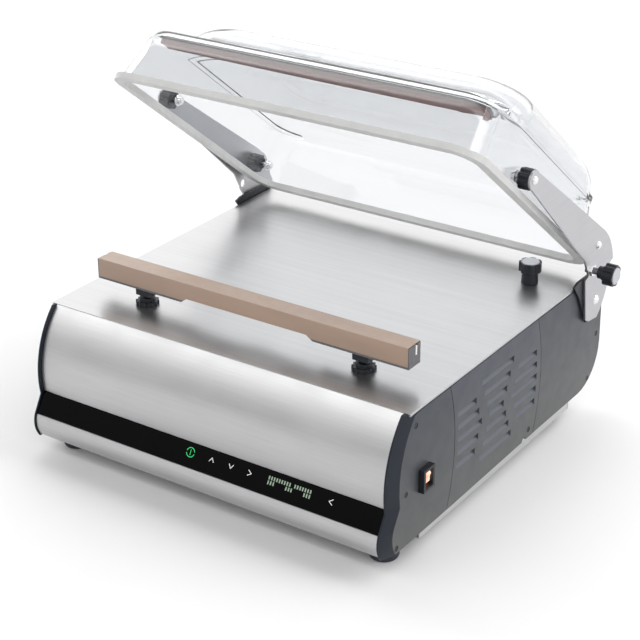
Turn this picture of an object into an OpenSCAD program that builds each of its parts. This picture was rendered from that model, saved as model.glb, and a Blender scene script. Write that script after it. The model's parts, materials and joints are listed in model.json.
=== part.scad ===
// Tabletop vacuum chamber sealer: clear hinged lid, lifting seal bar, pump and controls in the body.
// X runs right, Y back and Z up. The origin is the centre of the base tray's underside.
// Most modules draw in the plate frame, whose origin is the middle of the plate's front top edge;
// at_plate() puts that frame in its place. Lid parts are drawn shut and swung up by swung().

/* [Body] */
// Width of the front panel between its end caps
panel_w = 466; // [456:1:476]
// Width of the end cap at each end of the front panel, out to the covers' faces
cap_w = 8; // [7:0.5:9]
// Depth of the vacuum plate, front to back
plate_d = 433; // [425:1:440]
// Thickness of the vacuum plate
plate_t = 3; // [2:0.5:4]
// Height of the plate's top above the base tray's underside
plate_h = 163; // [160:1:170]
// Distance of the origin behind the plate's front edge
origin_back = 186; // [180:1:192]
// Thickness of the folded sheet parts
sheet_t = 1.5; // [1:0.1:2]
// Thickness of the moulded side covers
cover_t = 3; // [2.5:0.5:3.5]
// Height of the rubber feet below the tray
foot_h = 12; // [8:1:20]
// Diameter of the rubber feet
foot_d = 33; // [28:1:36]

/* [Lid] */
// Angle by which the lid stands open at rest
lid_open = 38.35; // [20:0.05:45]
// Half width of the lid's seal
lid_half_w = 242; // [238:0.5:244]
// Distance from the plate's front edge to the front of the lid's seal
lid_front = 7; // [5:0.5:10]
// Depth of the lid's seal, front to back
lid_d = 374; // [370:1:376]
// Corner radius of the lid's seal
lid_r = 36; // [30:1:40]
// Height of the lid's front ledge above the plate
ledge_h = 75; // [73:0.5:80]
// Height of the lid's roof above the plate
roof_h = 119; // [112:1:130]
// Thickness of the clear lid
lid_t = 6; // [5:0.5:6.5]
// Hinge axis behind the plate's front edge
pivot_back = 407; // [405:0.5:409]
// Hinge axis below the plate's top
pivot_down = 29; // [28:0.5:31]

/* [Seal bar] */
// Length of the seal bar
bar_l = 418; // [380:1:420]
// Front-to-back thickness of the seal bar
bar_t = 24; // [22:1:26]
// Height of the seal bar's top above the plate
bar_top = 46; // [45:0.5:47]
// Height of the seal bar's body
bar_h = 25; // [22:1:26]
// Middle line of the seal bar behind the plate's front edge
bar_back = 58; // [56:1:60]
// Distance between the two bar posts
post_pitch = 294; // [280:1:300]
// Lift of the bar against the lid's counter bar
bar_lift = 8; // [6:0.5:8]

/* [Vents] */
// Spacing of the louvre rows
louvre_pitch = 15.6; // [15:0.1:16]
// Height of one louvre opening
louvre_h = 9; // [8:0.5:10]
// Depth by which a vane's top leans into the body
louvre_lean = 7; // [5:0.5:7]

/* [Hidden] */
$fn = 64;
gap = 0.3;                               // clearance between pieces that only lie close

// Body outline
cover_x = panel_w / 2 + cap_w;           // outer faces of the side covers
edge_x = cover_x - 1;                    // the plate's side edges
bulge_r = 112.3;                         // front bulge: an arc from the plate's front edge
bulge_y = 78.8;
bulge_z = -80;
lip_r = 30;                              // lower lip: a smaller arc
lip_y = -19;
lip_z = -132.5;
strip_top = [-32.1, -97.5];              // black strip between the two arcs
strip_low = [-46.6, -121.2];
strip_t = 2;
body_back = 438;
body_low = -149;
cap_proud = 5;                           // end caps stand proud of the bulge
lip_proud = 1.8;                         // and of the lip
cap_chamfer = 17;                        // and slope back to the covers
seam_r = 215;                            // the covers meet at arcs that bow backwards
seam_z = -76;
seam_front = 91;                         // rearmost points of the two seams
seam_rear = 285.5;

// Hinge and lid
pivot = [pivot_back, -pivot_down];
arm_in = cover_x + 4;                    // inner face of an arm beside the body
arm_out = cover_x + 8;                   // and beside the lid
arm_t = 2.5;
joggle = 7;                              // length of the bend between the two levels
lid_wall_x = 236;                        // clear lid at its rim
lid_lean = 0.13;                         // sideways lean of its walls
arm_front_hole = [134, 23];              // lid screws through an arm
arm_rear_hole = [352, 23];
lock_hole = [355, -7];
shaft_d = 12;
knob_d = 26;

// Seal bar posts and valve knob
post_x = post_pitch / 2;
piston_d = 8;
valve_xy = [188, 350.5];
port_xy = [0, 116];

steel = [0.80, 0.80, 0.81];
dark_plastic = [0.10, 0.12, 0.15];
grey_plastic = [0.34, 0.35, 0.37];
black = [0.06, 0.06, 0.07];
cap_grey = [0.72, 0.74, 0.77];

// ---------- helpers ----------

// Puts the plate frame in its place
module at_plate() translate([0, -origin_back, plate_h]) children();

// Swings lid parts from shut to open
module swung() translate([0, pivot.x, pivot.y]) rotate([-lid_open, 0, 0])
  translate([0, -pivot.x, -pivot.y]) children();

// Extrudes an outline drawn in (Y, Z) along X
module along_x(x0, x1) translate([x0, 0, 0]) rotate([90, 0, 90]) linear_extrude(x1 - x0) children();

// A cylinder along X between x0 and x1, through (y, z)
module rod_x(d, x0, x1, yz) translate([x0, yz.x, yz.y]) rotate([0, 90, 0]) cylinder(d = d, h = x1 - x0);

// The same piece on the right and, mirrored, on the left
module both_sides() {
  children();
  mirror([1, 0, 0]) children();
}

// Points of an arc, from angle a0 to a1 in n steps
function arc(c, r, a0, a1, n) = [for (i = [0:n]) c + r * [cos(a0 + (a1 - a0) * i / n), sin(a0 + (a1 - a0) * i / n)]];

// Exact rounded rectangle from low corner to high corner
module round_rect(lo, hi, r) {
  translate(lo + [r, 0]) square([hi.x - lo.x - 2 * r, hi.y - lo.y]);
  translate(lo + [0, r]) square([hi.x - lo.x, hi.y - lo.y - 2 * r]);
  for (x = [lo.x + r, hi.x - r], y = [lo.y + r, hi.y - r]) translate([x, y]) circle(r);
}

// Block with its low corner and its size
module block(lo, size) translate(lo) cube(size);

// Lobed grip outline: a disc with scallops cut from its rim
module lobed(d, lobes) difference() {
  circle(d = d);
  for (i = [0:lobes - 1]) rotate(360 / lobes * (i + 0.5)) translate([d * 0.56, 0]) circle(d = d * 0.26, $fn = 24);
}

// ---------- body shells ----------

// Front curve of the end caps, from a start angle down, moved back by shift
function front_curve(shift, start = 140) = [for (p = concat(
    arc([bulge_y, bulge_z], bulge_r + cap_proud, start, 190, 14),
    arc([lip_y, lip_z], lip_r + lip_proud, 180 - 20, 180 + 38, 8))) p + [shift, 0]];

// Folded front sheet: bulge, recess behind the black strip, lower lip and bottom flange
module front_panel_outline() {
  strip_dir = (strip_low - strip_top) / norm(strip_low - strip_top);
  inward = [-strip_dir.y, strip_dir.x];
  bulge = [bulge_y, bulge_z];
  lip = [lip_y, lip_z];
  behind = strip_t + sheet_t;
  polygon(concat(
    arc(bulge, bulge_r, 134.8, 189, 40),
    [strip_top + inward * strip_t, strip_low + inward * strip_t],
    arc(lip, lip_r, 159, 214.5, 16),
    [[-19.5, -149.5], [-19.5, sheet_t - 149.5]],
    arc(lip, lip_r - sheet_t, 213, 165, 14),
    [strip_low + inward * behind, strip_top + inward * behind, [-29.9, -97]],
    arc(bulge, bulge_r - sheet_t, 187.3, 135.7, 38)));
}

module front_panel() color(steel) at_plate() difference() {
  along_x(-panel_w / 2 + gap, panel_w / 2 - gap) front_panel_outline();
  on_strip() block([lcd_x - lcd_size.x / 2 - 0.8, -lcd_size.y / 2 - 0.8, -8], [lcd_size.x + 1.6, lcd_size.y + 1.6, 8]);
}

lcd_x = 117.5;
lcd_size = [62, 14];

// Draws flat pieces in the strip's own frame: x along it, y up its slope, z out of its face
module on_strip() {
  mid = (strip_top + strip_low) / 2;
  slope = atan2(strip_top.y - strip_low.y, strip_top.x - strip_low.x);
  translate([0, mid.x, mid.y]) rotate([slope, 0, 0]) children();
}

module control_glass() color(black) at_plate() on_strip()
  block([-panel_w / 2 + gap, -13.6, -strip_t + 0.05], [panel_w - 2 * gap, 27.2, strip_t - 0.05]);

module display_board() color("darkgreen") at_plate() on_strip() difference() {
  block([-60, -11, -strip_t - sheet_t - 2.1], [250, 22, 1.6]);
  translate([lcd_x - 34, -9, -8]) cube([68, 18, 8]);
}

module lcd_module() color([0.2, 0.25, 0.22]) at_plate() on_strip()
  block([lcd_x - lcd_size.x / 2, -lcd_size.y / 2, -strip_t - 6], [lcd_size.x, lcd_size.y, 5.9]);

// One end cap: a band that follows the front curve, cut to a slope that runs back to the cover
module end_cap() {
  slope_x = panel_w / 2 + 2;
  tilt = atan2(cover_x - slope_x, cap_chamfer);
  face = front_curve(0, 136.8);
  back = front_curve(cap_chamfer + 1, 136.8);
  n = len(face);
  cut = [for (p = face) [slope_x * cos(tilt) - p.x * sin(tilt), p.y]];
  difference() {
    along_x(panel_w / 2, cover_x) polygon(concat(face, [for (i = [n - 1:-1:0]) back[i]]));
    rotate([90, 0, -tilt]) translate([0, 0, -150]) linear_extrude(300) polygon(concat(
      [cut[0] + [0, 5]], cut, [cut[n - 1] - [0, 5], [cut[0].x + 60, cut[n - 1].y - 5], [cut[0].x + 60, cut[0].y + 5]]));
    block([panel_w / 2 - 1, -gap, -plate_t - gap], [20, 40, 10]);
  }
}

module right_end_cap() color(dark_plastic) at_plate() end_cap();
module left_end_cap() color(dark_plastic) at_plate() mirror([1, 0, 0]) end_cap();

// Outline of the whole side behind the end cap, in (Y, Z)
module side_outline() polygon(concat(
  front_curve(cap_chamfer + 1.4),
  [[60, -152], [seam_rear, body_low]],
  arc([body_back - 50, body_low + 52], 52, -90, 0, 8),
  [[body_back, -4 - plate_t], [body_back - 4, -gap - plate_t], [14, -gap - plate_t]]));

// The body in front of a seam, as a mask
module before_seam(y, clear) {
  translate([y - seam_r, seam_z]) circle(seam_r - clear, $fn = 200);
  translate([-200, -300]) square([120 + y, 400]);
}

cover_screw_spots = [[10, -17], [-7, -90], [-24, -146], [429, -84], [412, -138], [262, -139]];

module screw_wells() for (p = cover_screw_spots) {
  rod_x(7, cover_x - 1.5, cover_x + 1, p);
  rod_x(3.4, cover_x - 12, cover_x, p);
}

module front_cover(with_switch) difference() {
  along_x(cover_x - cover_t, cover_x) intersection() {
    side_outline();
    before_seam(seam_front, 0.4);
  }
  screw_wells();
  if (with_switch) switch_hole();
}

module rear_cover() difference() {
  along_x(cover_x - cover_t, cover_x) difference() {
    side_outline();
    before_seam(seam_rear, -0.4);
  }
  screw_wells();
  rod_x(24.6, cover_x - 5, cover_x + 1, pivot);
}

// Louvre rows: columns[0] fore, [1] middle, [2] aft; every entry is [row, from, to]
louvre_mid = 182.5;
function mid_half(row) = 15.5 + 6.7 * abs(row);
function seam_at(seam, z) = seam - seam_r + sqrt(seam_r * seam_r - (z - seam_z) * (z - seam_z));
function row_z(row) = seam_z - row * louvre_pitch;
louvres = concat(
  [for (r = [-2:2]) [r, seam_at(seam_front, row_z(r)) + 7, louvre_mid - mid_half(r) - 18]],
  [for (r = [-3:3]) [r, louvre_mid - mid_half(r), louvre_mid + mid_half(r)]],
  [for (r = [-2:2]) [r, louvre_mid + mid_half(r) + 18, seam_at(seam_rear, row_z(r)) - 10]]);

module vent_panel() {
  difference() {
    along_x(cover_x - cover_t, cover_x) intersection() {
      side_outline();
      difference() {
        before_seam(seam_rear, 0.4);
        before_seam(seam_front, -0.4);
      }
    }
    for (l = louvres) block([cover_x - 10, l[1], row_z(l[0]) - louvre_h / 2], [20, l[2] - l[1], louvre_h]);
    rod_x(10, cover_x - 5, cover_x + 1, [252, body_low - 1]);
    screw_wells();
  }
  // Each vane stands on its slot's lower edge and leans into the body
  for (l = louvres) along_y(l[1], l[2]) translate([0, row_z(l[0]) - louvre_h / 2]) vane_section();
}

// Section of a vane in (X, Z), with its foot in the panel
module vane_section() polygon([
  [cover_x, -0.5], [cover_x, 0.6], [cover_x - louvre_lean, louvre_h - 0.5],
  [cover_x - louvre_lean - 1.3, louvre_h - 0.5], [cover_x - 1.6, -0.5]]);

module left_front_cover() color(grey_plastic) at_plate() mirror([1, 0, 0]) front_cover(false);
module right_front_cover() color(grey_plastic) at_plate() front_cover(true);
module left_vent_panel() color(grey_plastic) at_plate() mirror([1, 0, 0]) vent_panel();
module right_vent_panel() color(grey_plastic) at_plate() vent_panel();
module left_rear_cover() color(grey_plastic) at_plate() mirror([1, 0, 0]) rear_cover();
module right_rear_cover() color(grey_plastic) at_plate() rear_cover();

module cover_screws() color(black) at_plate() both_sides() for (p = cover_screw_spots) {
  rod_x(6.4, cover_x - 1.5, cover_x - 0.4, p);
  rod_x(3, cover_x - 3.9, cover_x - 1.5, p);
}

// Vacuum plate with its holes
module top_plate() color(steel) at_plate() difference() {
  block([-edge_x, 0, -plate_t], [2 * edge_x, plate_d, plate_t]);
  for (x = [-post_x, post_x]) translate([x, bar_back, -10]) cylinder(d = 14, h = 20);
  translate([port_xy.x, port_xy.y, -10]) cylinder(d = 16, h = 20);
  translate([valve_xy.x, valve_xy.y, -10]) cylinder(d = 10, h = 20);
}

tray_side = cover_x - 4;
tray_back = 370;
module base_tray() color(steel) at_plate() difference() {
  translate([0, 0, -plate_h]) union() {
    block([-tray_side, 28, 0], [2 * tray_side, tray_back - 28, sheet_t]);
    block([-panel_w / 2 + 8, -24, 0], [panel_w - 16, 60, sheet_t]);
    both_sides() block([tray_side - sheet_t, 28, 0], [sheet_t, tray_back - 28, 18]);
    block([-panel_w / 2 + 8, -24, 0], [panel_w - 16, sheet_t, 10]);
    block([-tray_side, tray_back - sheet_t, 0], [2 * tray_side, sheet_t, 16]);
  }
  for (x = [-foot_x, foot_x], y = foot_ys) translate([x, y, -plate_h - 1]) cylinder(d = 5.4, h = 5);
  for (x = [-120:20:120], y = [90, 300]) block([x - 3, y, -plate_h - 1], [6, 40, 5]);
}

foot_x = 213;
foot_ys = [origin_back - 189, origin_back + 166];
module rubber_feet() color(black) at_plate() for (x = [-foot_x, foot_x], y = foot_ys)
  translate([x, y, -plate_h - foot_h]) difference() {
    union() {
      cylinder(d1 = foot_d - 3, d2 = foot_d, h = 3);
      translate([0, 0, 3]) cylinder(d = foot_d, h = foot_h - 3);
    }
    translate([0, 0, -1]) cylinder(d = 12, h = foot_h - 3);
    cylinder(d = 5.4, h = foot_h + 1);
  }

module foot_screws() color(steel) at_plate() for (x = [-foot_x, foot_x], y = foot_ys)
  translate([x, y, -plate_h - 4]) {
    translate([0, 0, -2.5]) cylinder(d = 9, h = 2.5);
    cylinder(d = 5, h = 12);
    translate([0, 0, 4 + sheet_t + 0.1]) cylinder(d = 9, h = 4, $fn = 6);
  }

// Stepped back panel: down from the plate, forward under the hinge, down to the tray
back_face = 430;
module rear_panel() color(steel) at_plate() difference() {
  along_x(-cover_x + cover_t + 1, cover_x - cover_t - 1) polygon([
    [back_face, -plate_t - gap], [back_face, -95], [back_face - 30, -141], [tray_back + 1, -143],
    [tray_back + 1, -plate_h], [tray_back + 1 + sheet_t, -plate_h], [tray_back + 1 + sheet_t, -143 - sheet_t],
    [back_face - 29, -141 - sheet_t], [back_face + sheet_t, -95.5], [back_face + sheet_t, -plate_t - gap]]);
  for (x = [-60:12:60]) block([x - 2.5, back_face - 5, -80], [5, 20, 50]);
  block([inlet_x - 14.2, back_face - 5, inlet_z - 10.2], [28.4, 20, 20.4]);
}

inlet_x = -150;
inlet_z = -62;
module power_inlet() color(black) at_plate() difference() {
  union() {
    block([inlet_x - 14, back_face - 22, inlet_z - 10], [28, 23.5, 20]);
    block([inlet_x - 17, back_face + sheet_t, inlet_z - 13], [34, 2.5, 26]);
  }
  block([inlet_x - 12, back_face - 10, inlet_z - 8], [24, 30, 16]);
  for (p = inlet_pin_spots) block([inlet_x + p.x - 1, back_face - 30, inlet_z + p.y - 2], [2, 30, 4]);
}

inlet_pin_spots = [[-7, -2], [7, -2], [0, 3]];
module inlet_pins() color("gold") at_plate() for (p = inlet_pin_spots)
  block([inlet_x + p.x - 1, back_face - 30, inlet_z + p.y - 2], [2, 32, 4]);

// ---------- rocker switch ----------

switch_yz = [28, -86];
switch_size = [22, 27];                  // along Y, along Z
rocker_size = [14, 20];
switch_depth = 7;                        // how far its frame stands out of the cover
module switch_hole() block([cover_x - 20, switch_yz.x - 9.2, switch_yz.y - 12.2], [40, 18.4, 24.4]);

module switch_frame() color(black) at_plate() translate([cover_x, switch_yz.x, switch_yz.y]) difference() {
  union() {
    block([0, -switch_size.x / 2, -switch_size.y / 2], [switch_depth, switch_size.x, switch_size.y]);
    block([-16, -9, -12], [16, 18, 24]);
  }
  block([-12, -rocker_size.x / 2, -rocker_size.y / 2], [30, rocker_size.x, rocker_size.y]);
}

// Rocker turning about a pin along Y; the upper half is pressed in
rocker_r = 16;
module switch_rocker() color("orangered") at_plate() translate([cover_x - 4, switch_yz.x, switch_yz.y])
  along_y(-rocker_size.x / 2 + 0.4, rocker_size.x / 2 - 0.4) rotate(-rocker_tilt) difference() {
    intersection() {
      circle(9.4);
      translate([-5, -8.4]) square([20, 16.8]);
    }
    translate([rocker_r + 6.4, 0]) circle(rocker_r - 1);
  }
rocker_tilt = 9;

// ---------- hinge ----------

// Steel brackets inside the covers, from the rear panel forward
module hinge_brackets() color(steel) at_plate() both_sides() difference() {
  union() {
    along_x(bracket_x, bracket_x + 3) difference() {
      polygon([[330, -plate_t - gap], [428, -plate_t - gap], [428, -92], [400, -135], [330, -135]]);
      translate([358, -88]) circle(20);
    }
    block([bracket_x - 14, 330, -plate_t - gap - 3], [15, 60, 3]);
  }
  rod_x(22.1, bracket_x - 1, bracket_x + 5, pivot);
}
bracket_x = cover_x - 10;

// Wear plates between the covers and the arms
module hinge_ears() color(black) at_plate() both_sides() difference() {
  along_x(cover_x + gap, cover_x + 3.4) polygon([
    [354, 5], [364, 8.5], [424, 8.5], [432, 2], [432, -40], [424, -54], [392, -54], [381, -36], [369, -14]]);
  rod_x(24.2, cover_x - 1, cover_x + 5, pivot);
}

// Flanged bushes through bracket and ear, running on the shaft
module hinge_bushes() color([0.85, 0.84, 0.78]) at_plate() both_sides() difference() {
  union() {
    rod_x(22, bracket_x, bracket_x + 3, pivot);
    rod_x(24, bracket_x + 3.1, cover_x + 3.2, pivot);
  }
  rod_x(shaft_d + 0.1, bracket_x - 1, cover_x + 6, pivot);
}

// Shaft that joins the two arms through the body
module hinge_shaft() color(steel) at_plate() rod_x(shaft_d, -arm_in, arm_in, pivot);

// Two springs round the shaft that balance the lid
spring_turns = 8;
spring_wire = 3.2;
spring_r = 10;                           // radius of the coil at the wire's centre
spring_l = 45;
spring_sides = 6;
// Ring of the wire's section at fraction t of the coil that starts at x0
function spring_ring(t, x0) = [for (k = [0:spring_sides - 1])
  let (a = 360 * spring_turns * t, w = 360 / spring_sides * k, r = spring_r + spring_wire / 2 * cos(w))
  [x0 + spring_l * t + spring_wire / 2 * sin(w), pivot.x + r * cos(a), pivot.y + r * sin(a)]];
module lid_spring(x0) {
  n = spring_turns * 14;
  m = spring_sides;
  polyhedron(
    points = [for (i = [0:n]) each spring_ring(i / n, x0)],
    faces = concat([[for (k = [0:m - 1]) k]], [[for (k = [m - 1:-1:0]) n * m + k]],
      [for (i = [0:n - 1], k = [0:m - 1]) [i * m + k, (i + 1) * m + k, (i + 1) * m + (k + 1) % m, i * m + (k + 1) % m]]));
}
module lid_springs() color([0.5, 0.5, 0.52]) at_plate() {
  lid_spring(120);
  lid_spring(-165);
}

// ---------- lid ----------

// Outline of an arm, drawn with the lid shut
module arm_outline() {
  translate(arm_front_hole) circle(11);
  polygon(concat([[128, 33.2], [138, 33.6], [352, 43]],
    arc([358, -28], 71, 88, -14, 12),
    [[422, -48], [409, -56], [399, -58], [352, -13], [330, -4], [131, 12.6]]));
}

module arm() difference() {
  union() {
    along_x(arm_out, arm_out + arm_t) difference() {
      arm_outline();
      arm_low_zone(0);
    }
    along_x(arm_in, arm_in + arm_t) intersection() {
      arm_outline();
      arm_low_zone(-joggle);
    }
    // joggle between the two levels
    hull() {
      along_x(arm_out, arm_out + arm_t) intersection() {
        arm_outline();
        arm_band(0);
      }
      along_x(arm_in, arm_in + arm_t) intersection() {
        arm_outline();
        arm_band(-joggle);
      }
    }
  }
  for (p = [arm_front_hole, arm_rear_hole]) rod_x(5.2, arm_out - 1, arm_out + 4, p);
  rod_x(6.2, arm_in - 1, arm_in + 4, pivot);
  rod_x(10.2, arm_in - 1, arm_out + 4, lock_hole);
}

// The zone near the pivot, below a line square to the lifted arm
module arm_low_zone(shift) translate(pivot) rotate(lid_open) translate([-100, -100]) square([200, 144 + shift]);
module arm_band(shift) translate(pivot) rotate(lid_open) translate([-100, 43 + shift]) square([200, 1.1]);

module right_arm() color(steel) at_plate() swung() arm();
module left_arm() color(steel) at_plate() swung() mirror([1, 0, 0]) arm();

module dome_head(x0, yz, d, h) translate([x0, yz.x, yz.y]) rotate([0, 90, 0]) intersection() {
  cylinder(d = d, h = h);
  translate([0, 0, h - d * 0.55]) sphere(d * 0.55);
}

module arm_screws() color([0.88, 0.88, 0.9]) at_plate() swung() both_sides() {
  for (p = [arm_front_hole, arm_rear_hole]) {
    dome_head(arm_out + arm_t, p, 10, 3.4);
    rod_x(5, wall_at(p.y) - lid_t - nut_gap(p) - 6.3, arm_out + arm_t, p);
  }
  dome_head(arm_in + arm_t, pivot, 13, 3.6);
  rod_x(6, arm_in, arm_in + arm_t, pivot);
}

function wall_at(z) = lid_wall_x - lid_lean * (z - 6);
// Distance of a nut from the flat of the inner wall, more where the wall rounds the rear corner
function nut_gap(p) = p.x > 300 ? 6.8 : 1.7;

module arm_spacers() color(black) at_plate() swung() both_sides() for (p = [arm_front_hole, arm_rear_hole])
  difference() {
    translate([wall_at(p.y) + 1.6, p.x, p.y]) rotate([0, 90, 0]) linear_extrude(arm_out - wall_at(p.y) - 1.6)
      lobed(24, 8);
    rod_x(5.2, wall_at(p.y), arm_out + 1, p);
  }

module lid_nuts() color([0.88, 0.88, 0.9]) at_plate() swung() both_sides() for (p = [arm_front_hole, arm_rear_hole])
  difference() {
    union() {
      rod_x(14, wall_at(p.y) - lid_t - nut_gap(p) - 1.3, wall_at(p.y) - lid_t - nut_gap(p), p);
      rod_x(9.5, wall_at(p.y) - lid_t - nut_gap(p) - 5.3, wall_at(p.y) - lid_t - nut_gap(p) - 1.3, p);
    }
    rod_x(5.04, wall_at(p.y) - lid_t - nut_gap(p) - 8, wall_at(p.y), p);
  }

// Rows of the lid's skin at inset w: [height, half width, front, back, corner radius]
function lid_rows(w) = concat(
  [for (z = [4, 30, ledge_h - 14]) [z, wall_at(z) - w, lid_front + 4 + 0.24 * (z - 4) + w, lid_front + lid_d - 5 - 0.1 * (z - 4) - w,
    lid_r - 4 - w]],
  [for (a = [25:21.6:90]) [ledge_h - 14 + (14 - w) * sin(a), wall_at(ledge_h - 14) - w, 43 - (15 - w) * cos(a),
    lid_front + lid_d - 11 - w, lid_r - 2 - w]],
  [[ledge_h + 1 - w, wall_at(ledge_h) - w, 84 + w, lid_front + lid_d - 12 - w, lid_r + 4 - w]],
  [for (a = [15:15:90]) let (s = sin(a), c = cos(a))
    [ledge_h + 3 + (roof_h - ledge_h - 3 - w) * s, wall_at(ledge_h) - 44 + (44 - w) * c, 126 - (38 - w) * c,
      lid_front + lid_d - 62 + (48 - w) * c, lid_r + 6 - w * c]]);

// One row as points round a rounded rectangle
corner_n = 7;
function lid_ring(row) = let (z = row[0], x = row[1], f = row[2], b = row[3], r = row[4]) concat(
  [for (q = arc([x - r, b - r], r, 0, 90, corner_n)) [q.x, q.y, z]],
  [for (q = arc([-x + r, b - r], r, 90, 180, corner_n)) [q.x, q.y, z]],
  [for (q = arc([-x + r, f + r], r, 180, 270, corner_n)) [q.x, q.y, z]],
  [for (q = arc([x - r, f + r], r, 270, 360, corner_n)) [q.x, q.y, z]]);

module dome_shell() {
  outer = lid_rows(0);
  inner = lid_rows(lid_t);
  m = 4 * (corner_n + 1);
  n = len(outer);
  polyhedron(
    points = concat([for (row = outer) each lid_ring(row)], [for (row = inner) each lid_ring(row)]),
    faces = concat(
      [for (k = [0:n - 2], i = [0:m - 1])
        [k * m + i, (k + 1) * m + i, (k + 1) * m + (i + 1) % m, k * m + (i + 1) % m]],
      [for (k = [0:n - 2], i = [0:m - 1])
        [(n + k) * m + i, (n + k) * m + (i + 1) % m, (n + k + 1) * m + (i + 1) % m, (n + k + 1) * m + i]],
      [[for (i = [m - 1:-1:0]) (n - 1) * m + i], [for (i = [0:m - 1]) (2 * n - 1) * m + i]],
      [for (i = [0:m - 1]) [i, (i + 1) % m, n * m + (i + 1) % m, n * m + i]]));
}

module lid_dome() color([0.85, 0.9, 0.95, 0.35]) at_plate() swung() difference() {
  dome_shell();
  both_sides() for (p = [arm_front_hole, arm_rear_hole]) rod_x(5.2, 200, 250, p);
}

// Silicone seal with a groove for the lid's edge
seal_h = 7.5;
module lid_seal() color([0.9, 0.9, 0.88]) at_plate() swung() difference() {
  translate([0, 0, gap]) linear_extrude(seal_h - gap) difference() {
    round_rect([-lid_half_w, lid_front], [lid_half_w, lid_front + lid_d], lid_r);
    round_rect([-lid_half_w + 13, lid_front + 13], [lid_half_w - 13, lid_front + lid_d - 13], lid_r - 12);
  }
  translate([0, 0, 3.9]) linear_extrude(20) difference() {
    round_rect([-wall_at(4) - 0.4, lid_front + 3.6], [wall_at(4) + 0.4, lid_front + lid_d - 4.6], lid_r - 4);
    round_rect([-wall_at(seal_h) + lid_t + 0.2, lid_front + lid_t + 5.2],
      [wall_at(seal_h) - lid_t - 0.2, lid_front + lid_d - lid_t - 5.7], lid_r - 9);
  }
}

// Counter bar: a channel under the lid's front ledge, with its rubber
module counter_bar() color([0.12, 0.12, 0.14]) at_plate() swung() difference() {
  block([-bar_l / 2 - 4, bar_back - 14, 59], [bar_l + 8, 28, ledge_h - lid_t - 60.2]);
  block([-bar_l / 2 - 5, bar_back - 9, 58], [bar_l + 10, 18, 5]);
}

module counter_rubber() color([0.45, 0.28, 0.26]) at_plate() swung()
  block([-bar_l / 2 - 3, bar_back - 8.9, bar_top + bar_lift + 0.6], [bar_l + 6, 17.8, 62.9 - bar_top - bar_lift - 0.6]);

// Lock: nut on the arm, screw through it, knob outside
lock_travel = 3;
module lock_nut() color(steel) at_plate() swung() difference() {
  rod_x(14, arm_out + arm_t, arm_out + arm_t + 4, lock_hole, $fn = 6);
  rod_x(8.1, arm_in, arm_out + 10, lock_hole);
}
module lock_screw() color([0.3, 0.3, 0.32]) at_plate() swung() rod_x(8, arm_in + 0.2, arm_out + 17, lock_hole);
module lock_knob() color(black) at_plate() swung() translate([arm_out + 13, lock_hole.x, lock_hole.y])
  rotate([0, 90, 0]) difference() {
    union() {
      cylinder(d = 15, h = 8);
      translate([0, 0, 8]) linear_extrude(13) lobed(knob_d, 7);
    }
    translate([0, 0, -1]) cylinder(d = 8.04, h = 5.05);
    translate([0, 0, 19.5]) cylinder(d = 20, h = 5);
  }
module lock_knob_cap() color(cap_grey) at_plate() swung() rod_x(19.9, arm_out + 32.5, arm_out + 35, lock_hole);

// ---------- seal bar ----------

notch_half = 90;
bar_low = bar_top - bar_h;
module bar_section_cut() both_sides() along_y(bar_back - 20, bar_back + 20)
  polygon([[-1, bar_low - 1], [notch_half, bar_low - 1], [notch_half - 9, bar_low + 6], [-1, bar_low + 6]]);

module seal_bar() color([0.55, 0.55, 0.57]) at_plate() difference() {
  block([-bar_l / 2, bar_back - bar_t / 2 + 0.5, bar_low], [bar_l, bar_t - 1, bar_h - 0.9]);
  block([-bar_l / 2 - 1, bar_back + 1.5, bar_top - 13], [bar_l + 2, 4, 20]);
  bar_section_cut();
}

module bar_tape() color([0.60, 0.47, 0.36]) at_plate() difference() {
  block([-bar_l / 2 + 2, bar_back - bar_t / 2, bar_low + 3], [bar_l - 3, bar_t, bar_h - 3]);
  block([-bar_l / 2, bar_back - bar_t / 2 + 0.49, bar_low], [bar_l + 1, bar_t - 0.98, bar_h - 0.58]);
  bar_section_cut();
}

module heating_band() color([0.7, 0.65, 0.6]) at_plate()
  block([-bar_l / 2 + 4, bar_back - 6, bar_top - 0.88], [bar_l - 8, 5, 0.25]);

module bar_posts() color(black) at_plate() for (x = [-post_x, post_x]) translate([x, bar_back, 0]) {
  block([-10, -8, 12], [20, 16, bar_low - 12 - 0.02]);
  translate([0, 0, -34]) cylinder(d = piston_d, h = 47);
  translate([0, 0, -40]) cylinder(d = 19.9, h = 6.02);
}

module post_collars() color(black) at_plate() for (x = [-post_x, post_x]) translate([x, bar_back, 0]) difference() {
  union() {
    translate([0, 0, 0.02]) linear_extrude(5) lobed(27, 12);
    translate([0, 0, 5]) cylinder(d = 18, h = 4);
    translate([0, 0, -plate_t - 1]) cylinder(d = 13.9, h = plate_t + 3);
  }
  translate([0, 0, -20]) cylinder(d = piston_d + 0.1, h = 60);
}

module lift_cylinders() color([0.75, 0.75, 0.77]) at_plate() for (x = [-post_x, post_x])
  translate([x, bar_back, 0]) difference() {
    translate([0, 0, -62]) cylinder(d = 32, h = 62 - plate_t - 1.1);
    translate([0, 0, -58]) cylinder(d = 20, h = 44);
    translate([0, 0, -20]) cylinder(d = piston_d + 0.1, h = 40);
  }

// ---------- valve knob and port ----------

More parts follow.
